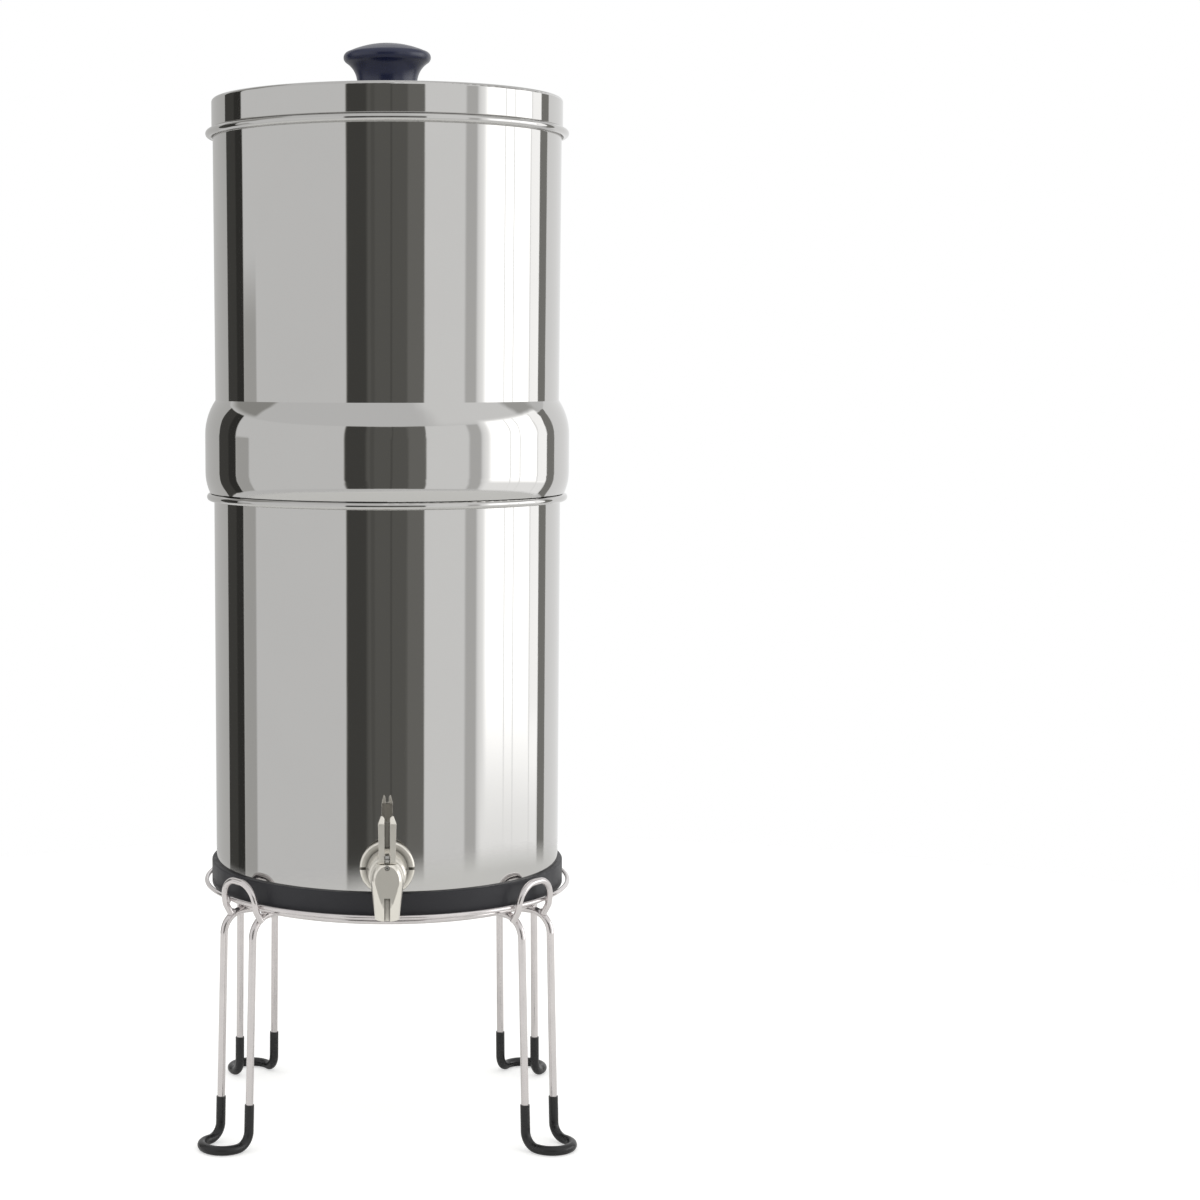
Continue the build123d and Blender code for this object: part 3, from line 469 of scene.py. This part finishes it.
FINISHES: dict[Surface, Finish] = {
    Surface.POLISHED_STEEL: VesselFinish(
        name="buffed_stainless_sheet", colour="#CDCCCA", second_colour="#CAC9C7",
        roughness=0.03, second_roughness=0.05, mottle_mm=45.0,
        grain_mm=60.0, grain_depth_mm=0.04, metallic=1.0, ring_mm=3.0, ring_share=0.02,
    ),
    Surface.STAND_WIRE: Finish(
        name="nickel_plated_wire", colour="#EAE5E4", second_colour="#DAD5D5",
        roughness=0.12, second_roughness=0.17, mottle_mm=14.0,
        grain_mm=2.5, grain_depth_mm=0.002, metallic=0.88,
    ),
    Surface.CHROME_PLATE: PlatedFinish(
        name="pearl_chrome_casting", colour="#F0ECE3", second_colour="#E9E5DB",
        roughness=0.12, second_roughness=0.18, mottle_mm=7.0,
        grain_mm=5.0, grain_depth_mm=0.006, metallic=0.62,
    ),
    Surface.TURNED_BRASS: SpunFinish(
        name="turned_brass", colour="#D9BC74", second_colour="#CBAA60",
        roughness=0.2, second_roughness=0.3, mottle_mm=5.0,
        grain_mm=3.0, grain_depth_mm=0.01, metallic=1.0, ring_mm=0.4, ring_share=0.6,
    ),
    Surface.FASTENER_STEEL: Finish(
        name="tumbled_stainless", colour="#BDBCB8", second_colour="#AEADA9",
        roughness=0.24, second_roughness=0.34, mottle_mm=2.5,
        grain_mm=0.8, grain_depth_mm=0.01, metallic=1.0,
    ),
    Surface.BLACK_RUBBER: Finish(
        name="moulded_nitrile_rubber", colour="#1D1D22", second_colour="#232328",
        roughness=0.42, second_roughness=0.54, mottle_mm=14.0,
        grain_mm=0.9, grain_depth_mm=0.012,
    ),
    Surface.DARK_BLUE_PHENOLIC: Finish(
        name="moulded_phenolic", colour="#0C1434", second_colour="#121B3C",
        roughness=0.26, second_roughness=0.32, mottle_mm=12.0,
        grain_mm=7.0, grain_depth_mm=0.012, ior=1.6,
    ),
    Surface.BLACK_VINYL: Finish(
        name="dipped_plastisol", colour="#121213", second_colour="#19191A",
        roughness=0.24, second_roughness=0.34, mottle_mm=7.0,
        grain_mm=5.0, grain_depth_mm=0.1, ior=1.53,
    ),
    Surface.WHITE_SILICONE: Finish(
        name="moulded_silicone", colour="#E8E7E2", second_colour="#DFDED8",
        roughness=0.4, second_roughness=0.5, mottle_mm=8.0,
        grain_mm=1.5, grain_depth_mm=0.01, ior=1.41, subsurface=0.3, subsurface_mm=2.0,
    ),
    Surface.FILTER_CERAMIC: GranularFinish(
        name="fired_diatomite", colour="#F6F3EA", second_colour="#EFEBDF",
        roughness=0.85, second_roughness=0.95, mottle_mm=20.0,
        grain_mm=0.9, grain_depth_mm=0.05, subsurface=0.15, subsurface_mm=1.5,
    ),
    Surface.CARBON_BLOCK: GranularFinish(
        name="pressed_carbon", colour="#1A1A1B", second_colour="#262627",
        roughness=0.85, second_roughness=0.98, mottle_mm=5.0,
        grain_mm=1.2, grain_depth_mm=0.25,
    ),
    Surface.WHITE_BOND: Finish(
        name="poured_epoxy", colour="#EFECE3", second_colour="#E6E2D6",
        roughness=0.35, second_roughness=0.45, mottle_mm=10.0,
        grain_mm=4.0, grain_depth_mm=0.08, ior=1.55,
    ),
    Surface.BLUE_PLASTIC: Finish(
        name="moulded_polypropylene", colour="#324FA0", second_colour="#3A58A8",
        roughness=0.34, second_roughness=0.42, mottle_mm=12.0,
        grain_mm=0.8, grain_depth_mm=0.015, ior=1.49, subsurface=0.05, subsurface_mm=0.8,
    ),
}


class Paintshop:
    """Builds each finish once and puts it on the pieces that need it."""

    def __init__(self) -> None:
        """Starts with no finish built."""
        self.built: dict[Surface, bpy.types.Material] = {}

    def material(self, surface: Surface) -> bpy.types.Material:
        """Gives a finish as a material, and builds it the first time.

        Args:
            surface: which finish.

        Returns:
            The material.
        """
        if surface not in self.built:
            self.built[surface] = FINISHES[surface].build()
        return self.built[surface]

    def dress(self, piece: bpy.types.Object, surface: Surface) -> None:
        """Puts a finish on each slot of a piece, and gives it a slot if it has none.

        Args:
            piece: a mesh object, carried over or new.
            surface: which finish.
        """
        if not piece.material_slots:
            piece.data.materials.append(None)
        for slot in piece.material_slots:
            slot.material = self.material(surface)


# ---------------------------------------------------------------- sub-assemblies


@dataclass
class SubAssembly:
    """Carried-over nodes that belong together, each with its finish."""

    title: str
    surfaces: dict[str, Surface]

    def dress(self, shop: Paintshop) -> list[str]:
        """Puts the finishes on this sub-assembly's nodes.

        Args:
            shop: where the finishes come from.

        Returns:
            The names of the pieces dressed.
        """
        for node, surface in self.surfaces.items():
            shop.dress(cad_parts[node], surface)
        return list(self.surfaces)


@dataclass
class WireStand(SubAssembly):
    """Two rings, four legs with dipped feet and four hoops, spot welded together.

    Two wires are welded where they come nearer than weld_reach, once in every weld_spacing. A
    bead is a lens of weld_radius and weld_thickness, weld_fullness fatter than a plain one. Its
    rim is uneven by weld_ripple, in the coarse and the fine number of ripple_waves round it;
    fine_share is the strength of the fine ones, and ripple_shift turns them from bead to bead.
    """

    title: str = "wire stand"
    surfaces: dict[str, Surface] = field(
        default_factory=lambda: {
            "support_ring": Surface.STAND_WIRE,
            "retaining_ring": Surface.STAND_WIRE,
            **{f"leg_{place}": Surface.STAND_WIRE for place in PLACES},
            **{f"hoop_{place}": Surface.STAND_WIRE for place in PLACES},
            **{f"foot_sleeve_{place}": Surface.BLACK_VINYL for place in PLACES},
        }
    )
    weld_reach: float = 0.9 * MM
    weld_spacing: float = 8.0 * MM
    weld_radius: float = 2.2 * MM
    weld_thickness: float = 1.9 * MM
    weld_fullness: float = 0.3
    weld_ripple: float = 0.07
    ripple_waves: tuple[int, int] = (5, 11)
    ripple_shift: float = 40.0
    fine_share: float = 0.5
    bead_segments: int = 28
    bead_rings: int = 14

    def welds_between(self, dense: str, other: str) -> list[tuple[Vector, Vector]]:
        """Finds where two wires touch.

        Args:
            dense: the node whose corners lie close together.
            other: the node that is tested against them.

        Returns:
            The middle of each weld and the direction across it, from one wire to the other.
        """
        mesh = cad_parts[other].data
        corners = [v.co for v in mesh.vertices]
        faces = [p.vertices[:] for p in mesh.polygons]
        surface = BVHTree.FromPolygons(corners, faces)
        found: list[tuple[float, Vector, Vector]] = []
        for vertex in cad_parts[dense].data.vertices:
            near, _, _, distance = surface.find_nearest(vertex.co, self.weld_reach)
            if near is not None and distance > 0:
                found.append((distance, (near + vertex.co) / 2, vertex.co - near))
        welds: list[tuple[Vector, Vector]] = []
        for _, middle, across in sorted(found, key=lambda weld: weld[0]):
            if all((middle - other_weld[0]).length > self.weld_spacing for other_weld in welds):
                welds.append((middle, across.normalized()))
        return welds

    def shape_bead(self, shape: bmesh.types.BMesh, middle: Vector, across: Vector) -> None:
        """Adds one weld bead: a lens of metal squeezed out from between two wires.

        Args:
            shape: the mesh that the bead goes into.
            middle: the middle of the weld.
            across: direction from one wire to the other.
        """
        made = bmesh.ops.create_uvsphere(
            shape, u_segments=self.bead_segments, v_segments=self.bead_rings, radius=1.0
        )
        turn = across.to_track_quat("Z", "X").to_matrix().to_4x4()
        phase = self.ripple_shift * (middle.x + middle.y) / self.weld_radius
        coarse, fine = self.ripple_waves
        for vertex in made["verts"]:
            around = math.atan2(vertex.co.y, vertex.co.x)
            rim = math.sqrt(max(1 - vertex.co.z**2, 0))
            swell = 1 + self.weld_ripple * rim * math.sin(coarse * around + phase)
            swell += self.fine_share * self.weld_ripple * math.sin(fine * around - phase)
            vertex.co.x *= self.weld_radius * swell
            vertex.co.y *= self.weld_radius * swell
            vertex.co.z *= self.weld_thickness / 2 * (1 + self.weld_fullness * rim)
        bmesh.ops.transform(
            shape, matrix=Matrix.Translation(middle) @ turn, verts=made["verts"]
        )

    def add_welds(self, shop: Paintshop) -> list[str]:
        """Adds the weld beads of each corner of the stand, as one piece per corner.

        Args:
            shop: where the finishes come from.

        Returns:
            The names of the new pieces.
        """
        names = []
        for place in PLACES:
            pairs = (
                ("support_ring", f"leg_{place}"),
                ("retaining_ring", f"hoop_{place}"),
                (f"hoop_{place}", f"leg_{place}"),
            )
            shape = bmesh.new()
            for dense, other in pairs:
                for middle, across in self.welds_between(dense, other):
                    self.shape_bead(shape, middle, across)
            name = f"weld_beads_{place}"
            mesh = bpy.data.meshes.new(name)
            shape.to_mesh(mesh)
            shape.free()
            mesh.shade_smooth()
            beads = add_object(name, mesh)
            shop.dress(beads, Surface.STAND_WIRE)
            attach(beads, "stand")
            names.append(name)
        return names

    def dress(self, shop: Paintshop) -> list[str]:
        """Dresses the carried-over nodes and adds the weld beads."""
        return super().dress(shop) + self.add_welds(shop)


@dataclass
class LowerVessel(SubAssembly):
    """The lower chamber and its rubber band."""

    title: str = "lower vessel"
    surfaces: dict[str, Surface] = field(
        default_factory=lambda: {
            "lower_chamber": Surface.POLISHED_STEEL,
            "base_band": Surface.BLACK_RUBBER,
        }
    )


@dataclass(frozen=True)
class Casting:
    """A node whose sharp edges pouring and polishing round off, and the piece that shows it.

    width_mm is how far the rounding reaches from each sharp edge.
    """

    node: str
    body: str
    piece: str
    width_mm: float


@dataclass
class Tap(SubAssembly):
    """The tap: casting, lever, valve and fixings.

    An edge is rounded where its faces meet at more than sharp_angle degrees, in
    rounding_segments steps. flat_weight keeps the large flat faces flat beside it. join_reach
    is how near two corners of a node's mesh lie where they are one corner.
    """

    title: str = "tap"
    surfaces: dict[str, Surface] = field(
        default_factory=lambda: {
            "tap_body": Surface.CHROME_PLATE,
            "tap_bonnet": Surface.CHROME_PLATE,
            "tap_lever": Surface.CHROME_PLATE,
            "tap_gasket_outer": Surface.BLACK_RUBBER,
            "tap_gasket_inner": Surface.BLACK_RUBBER,
            "tap_lock_nut": Surface.TURNED_BRASS,
            "tap_grub_screw": Surface.FASTENER_STEEL,
            "tap_stem": Surface.FASTENER_STEEL,
            "tap_spring": Surface.FASTENER_STEEL,
            "lever_pin": Surface.FASTENER_STEEL,
            "tap_seat_washer": Surface.WHITE_SILICONE,
        }
    )
    castings: tuple[Casting, ...] = (
        Casting("tap_body", "lower_vessel", "tap_casting", width_mm=0.35),
        Casting("tap_lever", "tap_lever", "lever_casting", width_mm=1.0),
    )
    join_reach: float = 0.001 * MM
    sharp_angle: float = 28.0
    rounding_segments: int = 3
    flat_weight: int = 90
    spring_joint: str = "tap_stem_rise"

    def round_off(self, casting: Casting, shop: Paintshop) -> str:
        """Stands a copy with rounded edges in for a casting's node.

        Args:
            casting: which node, and how wide its rounding is.
            shop: where the finishes come from.

        Returns:
            The name of the new piece.
        """
        shape = bmesh.new()
        shape.from_mesh(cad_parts[casting.node].data)
        bmesh.ops.remove_doubles(shape, verts=shape.verts, dist=self.join_reach)
        mesh = bpy.data.meshes.new(casting.piece)
        shape.to_mesh(mesh)
        shape.free()
        mesh.shade_smooth()
        piece = add_object(casting.piece, mesh)
        bevel = piece.modifiers.new("rounding", "BEVEL")
        bevel.width = casting.width_mm * MM
        bevel.segments = self.rounding_segments
        bevel.limit_method = "ANGLE"
        bevel.angle_limit = math.radians(self.sharp_angle)
        bevel.miter_outer = "MITER_ARC"
        bevel.harden_normals = True
        piece.modifiers.new("flat_faces", "WEIGHTED_NORMAL").weight = self.flat_weight
        graph = bpy.context.evaluated_depsgraph_get()
        rounded = bpy.data.meshes.new_from_object(piece.evaluated_get(graph))
        rounded.name = casting.piece
        piece.modifiers.clear()
        piece.data = rounded
        shop.dress(piece, self.surfaces[casting.node])
        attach(piece, casting.body)
        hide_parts(casting.node)
        return casting.piece

    def compress_spring(self, shop: Paintshop) -> str:
        """Stands a copy in for the return spring's node.

        Args:
            shop: where the finishes come from.

        Returns:
            The name of the new piece.
        """
        node = "tap_spring"
        spring = add_object("return_spring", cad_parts[node].data.copy())
        shop.dress(spring, self.surfaces[node])
        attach(spring, "lower_vessel")
        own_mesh(spring)
        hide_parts(node)
        return spring.name

    def dress(self, shop: Paintshop) -> list[str]:
        """Dresses the carried-over nodes and stands in the rounded castings and the spring."""
        names = super().dress(shop) + [self.round_off(part, shop) for part in self.castings]
        return [*names, self.compress_spring(shop)]


@dataclass
class UpperVessel(SubAssembly):
    """The upper chamber with its two candles."""

    title: str = "upper vessel"
    surfaces: dict[str, Surface] = field(
        default_factory=lambda: {
            "upper_chamber": Surface.POLISHED_STEEL,
            **{f"candle_shell_{side}": Surface.FILTER_CERAMIC for side in SIDES},
            **{f"candle_core_{side}": Surface.CARBON_BLOCK for side in SIDES},
            **{f"candle_bond_{side}": Surface.WHITE_BOND for side in SIDES},
            **{f"candle_cap_{side}": Surface.BLUE_PLASTIC for side in SIDES},
            **{f"candle_washer_{side}": Surface.WHITE_SILICONE for side in SIDES},
            **{f"wing_nut_{side}": Surface.BLUE_PLASTIC for side in SIDES},
        }
    )


@dataclass
class LidWithKnob(SubAssembly):
    """The lid, its knob and what fixes them together."""

    title: str = "lid"
    surfaces: dict[str, Surface] = field(
        default_factory=lambda: {
            "lid": Surface.POLISHED_STEEL,
            "lid_knob": Surface.DARK_BLUE_PHENOLIC,
            "knob_insert": Surface.TURNED_BRASS,
            "knob_washer": Surface.FASTENER_STEEL,
            "knob_screw": Surface.FASTENER_STEEL,
        }
    )


# ---------------------------------------------------------------- studio


@dataclass(frozen=True)
class Card:
    """A card or softbox that the glossy surfaces mirror, far away all round the object.

    Angles are in degrees: azimuth from the camera's side, to the right, and elevation above
    the horizon. A card is as high as the room's walls unless it says otherwise. soft is the
    width of its edges, and level is its brightness, with 1 as white.
    """

    left: float
    right: float
    level: float
    low: float = -22.0
    high: float = 21.5
    soft: float = 0.8


@dataclass(frozen=True)
class Lamp:
    """A soft square lamp, with its place and size in metres and its power in watts."""

    name: str
    place: tuple[float, float, float]
    power: float
    size: float = 0.9


@dataclass
class Studio:
    """Floor, lamps, mirrored cards and camera.

    Lengths are in metres and angles in degrees, unless a name says mm or px. The camera's
    focal length and the object's centre are given in pixels of a square image.
    """

    floor_centre: tuple[float, float] = (0.07, -0.045)
    floor_radius: float = 0.94
    floor_segments: int = 96
    floor_fade: float = 0.12
    floor_colour: str = "#E2E2E0"
    floor_grain_mm: float = 30.0
    floor_grain_depth_mm: float = 0.05
    floor_glow: float = 0.44
    floor_glow_mirrored: float = 0.03
    backdrop_level: float = 1.0
    room_level: float = 0.72
    room_colour: str = "#FFFFFF"
    shade_level: float = 0.1
    shade_colour: str = "#FFFDF5"
    cards: tuple[Card, ...] = (
        # the ceiling: lighter on the right, with a dim corner on each side
        Card(left=30.0, right=112.0, low=20.0, high=90.0, level=0.9, soft=18.0),
        Card(left=100.0, right=122.0, low=24.0, high=62.0, level=0.5, soft=8.0),
        Card(left=-140.0, right=-98.0, low=24.0, high=55.0, level=0.36, soft=5.0),
        # the grey walls, all round and then where they are darker and lighter
        Card(left=-181.0, right=181.0, level=0.775, soft=2.0),
        Card(left=-181.0, right=-131.0, level=0.58, soft=1.0),
        Card(left=23.8, right=181.0, level=0.9),
        # the black flag round the camera, and what is dimly lit behind it
        Card(left=-26.4, right=23.8, level=0.13, soft=1.6),
        Card(left=-26.0, right=-13.0, level=0.07, soft=2.6),
        Card(left=-10.5, right=-8.0, level=0.11, soft=1.5),
        Card(left=2.0, right=3.2, level=0.1),
        Card(left=13.0, right=23.8, level=0.19, soft=2.0),
        # the softbox on the right, its dim near edge and the seams of its cloth
        Card(left=52.0, right=60.5, level=0.6, soft=2.5),
        Card(left=62.5, right=119.0, low=-24.0, high=26.0, level=1.2, soft=6.0),
        Card(left=67.0, right=119.0, low=-9.2, high=24.0, level=2.0, soft=5.0),
        Card(left=107.0, right=119.0, low=-9.0, high=24.0, level=1.45, soft=2.0),
        Card(left=82.4, right=83.2, high=24.0, level=1.15, soft=0.5),
        Card(left=90.6, right=91.4, high=24.0, level=1.1, soft=0.5),
        Card(left=107.8, right=108.6, high=24.0, level=1.05, soft=0.5),
        Card(left=119.0, right=129.5, level=0.25),
        # the dark doorway on the left and the grey jamb beside it
        Card(left=-109.0, right=-96.0, high=1.5, level=0.5, soft=2.0),
        Card(left=-131.0, right=-109.5, level=0.065),
        Card(left=-118.0, right=-109.5, level=0.04, soft=2.0),
    )
    lamps: tuple[Lamp, ...] = (
        Lamp("softbox_right", place=(1.3, -0.9, 1.3), power=3.0),
        Lamp("softbox_left", place=(-1.5, -0.7, 1.0), power=1.0),
    )
    lamp_target: tuple[float, float, float] = (0.0, 0.0, 0.35)
    sensor_mm: float = 36.0
    image_px: float = 1200.0
    focal_px: float = 2395.57
    centre_px: float = 387.2
    camera_distance: float = 1.49942
    camera_height: float = 0.476238
    camera_pitch: float = 5.6498

    def lay_floor(self) -> None:
        """Makes the floor, whose edge fades into the white round it."""
        mesh = bpy.data.meshes.new("floor")
        shape = bmesh.new()
        bmesh.ops.create_circle(
            shape, cap_ends=True, segments=self.floor_segments, radius=self.floor_radius
        )
        shape.to_mesh(mesh)
        shape.free()
        floor = add_object("floor", mesh)
        floor.location = (*self.floor_centre, 0)
        mesh.materials.append(self.floor_material())

    def floor_material(self) -> bpy.types.Material:
        """Makes the floor's pale paint, with the glow that takes it to white.

        Returns:
            The material.
        """
        # Matt white studio paint: it keeps the object's soft shadow and shows nothing else.
        material = bpy.data.materials.new("matt_studio_paint")
        material.use_nodes = True
        tree = material.node_tree
        tree.nodes.clear()
        place = add_node(tree, "ShaderNodeTexCoord").outputs["Object"]
        grain = noise(tree, place, self.floor_grain_mm)
        depth = self.floor_grain_depth_mm * MM
        bump = add_node(tree, "ShaderNodeBump", {"Height": grain, "Distance": depth})
        paint = add_node(
            tree,
            "ShaderNodeBsdfDiffuse",
            {"Color": linear(self.floor_colour), "Normal": bump.outputs["Normal"]},
        )
        path = add_node(tree, "ShaderNodeLightPath").outputs
        seen = calculate(tree, "MULTIPLY", path["Is Camera Ray"], self.floor_glow)
        strength = calculate(
            tree, "MULTIPLY_ADD", path["Is Glossy Ray"], self.floor_glow_mirrored, seen
        )
        glow = add_node(tree, "ShaderNodeEmission", {"Strength": strength})
        lit = add_node(tree, "ShaderNodeAddShader", {0: paint.outputs[0], 1: glow.outputs[0]})
        radius = calculate_vector(tree, "LENGTH", place)
        fade = remap(tree, radius, self.floor_radius - self.floor_fade, self.floor_radius)
        clear = add_node(tree, "ShaderNodeBsdfTransparent")
        blend = add_node(
            tree, "ShaderNodeMixShader", {0: fade, 1: lit.outputs[0], 2: clear.outputs[0]}
        )
        add_node(tree, "ShaderNodeOutputMaterial", {"Surface": blend.outputs[0]})
        return material

    def hang_cards(self) -> None:
        """Makes the world: plain white, with the room and its cards for glossy rays."""
        world = bpy.data.worlds.new("studio")
        bpy.context.scene.world = world
        world.use_nodes = True
        tree = world.node_tree
        tree.nodes.clear()
        mirrored = add_node(tree, "ShaderNodeLightPath").outputs["Is Glossy Ray"]
        strength = mix(tree, "FLOAT", mirrored, self.backdrop_level, self.room_light(tree))
        # what is dark in the room is a little warm
        bright = remap(tree, strength, self.shade_level, self.room_level)
        tint = mix(tree, "RGBA", bright, linear(self.shade_colour), linear(self.room_colour))
        light = add_node(tree, "ShaderNodeBackground", {"Color": tint, "Strength": strength})
        add_node(tree, "ShaderNodeOutputWorld", {"Surface": light.outputs[0]})

    def room_light(self, tree: Tree) -> Socket:
        """Makes the brightness of the room with its cards, in every direction.

        Args:
            tree: the world's node tree.

        Returns:
            The brightness, with 1 as white.
        """
        way = add_node(tree, "ShaderNodeTexCoord").outputs["Generated"]
        axes = add_node(tree, "ShaderNodeSeparateXYZ", {0: way}).outputs
        # azimuth starts at the camera, which stands on the minus Y side
        to_camera = calculate(tree, "MULTIPLY", axes["Y"], -1.0)
        azimuth = calculate(tree, "ARCTAN2", axes["X"], to_camera)
        elevation = calculate(tree, "ARCSINE", axes["Z"])
        level: Socket | float = self.room_level
        for card in self.cards:
            across = self.band(tree, azimuth, card.left, card.right, card.soft)
            upright = self.band(tree, elevation, card.low, card.high, card.soft)
            mask = calculate(tree, "MULTIPLY", across, upright)
            level = mix(tree, "FLOAT", mask, level, card.level)
        return level

    def band(self, tree: Tree, angle: Socket, start: float, end: float, soft: float) -> Socket:
        """Makes a mask that is 1 between two angles.

        Args:
            tree: the world's node tree.
            angle: the angle to test, in radians.
            start: the band's start, in degrees.
            end: its end, in degrees.
            soft: the width of its edges, in degrees.

        Returns:
            The mask's socket.
        """
        middle = math.radians((start + end) / 2)
        half = math.radians((end - start) / 2)
        edge = math.radians(soft / 2)
        away = calculate(tree, "ABSOLUTE", calculate(tree, "SUBTRACT", angle, middle))
        return remap(
            tree, away, half - edge, half + edge, 1.0, 0.0, interpolation_type="SMOOTHSTEP"
        )

    def hang_lamps(self) -> None:
        """Hangs the lamps, which light the object and aren't mirrored in it."""
        for lamp in self.lamps:
            data = bpy.data.lights.new(lamp.name, "AREA")
            data.energy = lamp.power
            data.shape = "SQUARE"
            data.size = lamp.size
            hung = add_object(lamp.name, data)
            hung.location = lamp.place
            aim = Vector(self.lamp_target) - Vector(lamp.place)
            hung.rotation_euler = aim.to_track_quat("-Z", "Y").to_euler()
            hung.visible_glossy = False
            hung.visible_camera = False

    def place_camera(self) -> None:
        """Sets the camera in front of the object, above its middle, looking slightly down."""
        data = bpy.data.cameras.new("camera")
        data.sensor_width = self.sensor_mm
        data.lens = self.sensor_mm * self.focal_px / self.image_px
        data.shift_x = (self.image_px / 2 - self.centre_px) / self.image_px
        camera = add_object("camera", data)
        camera.location = (0, -self.camera_distance, self.camera_height)
        camera.rotation_euler = (math.radians(90 - self.camera_pitch), 0, 0)
        bpy.context.scene.camera = camera

    def build(self) -> None:
        """Makes the whole studio and sets the view transform."""
        self.lay_floor()
        self.hang_cards()
        self.hang_lamps()
        self.place_camera()
        bpy.context.scene.view_settings.view_transform = "Standard"


# ---------------------------------------------------------------- making


def main() -> None:
    """Builds the studio and each sub-assembly in order."""
    logging.basicConfig(level=logging.INFO, format="%(name)s: %(message)s")
    Studio().build()
    shop = Paintshop()
    for assembly in (WireStand(), LowerVessel(), Tap(), UpperVessel(), LidWithKnob()):
        for piece in assembly.dress(shop):
            LOG.info("%s: %s", assembly.title, piece)


if __name__ == "__main__":
    main()
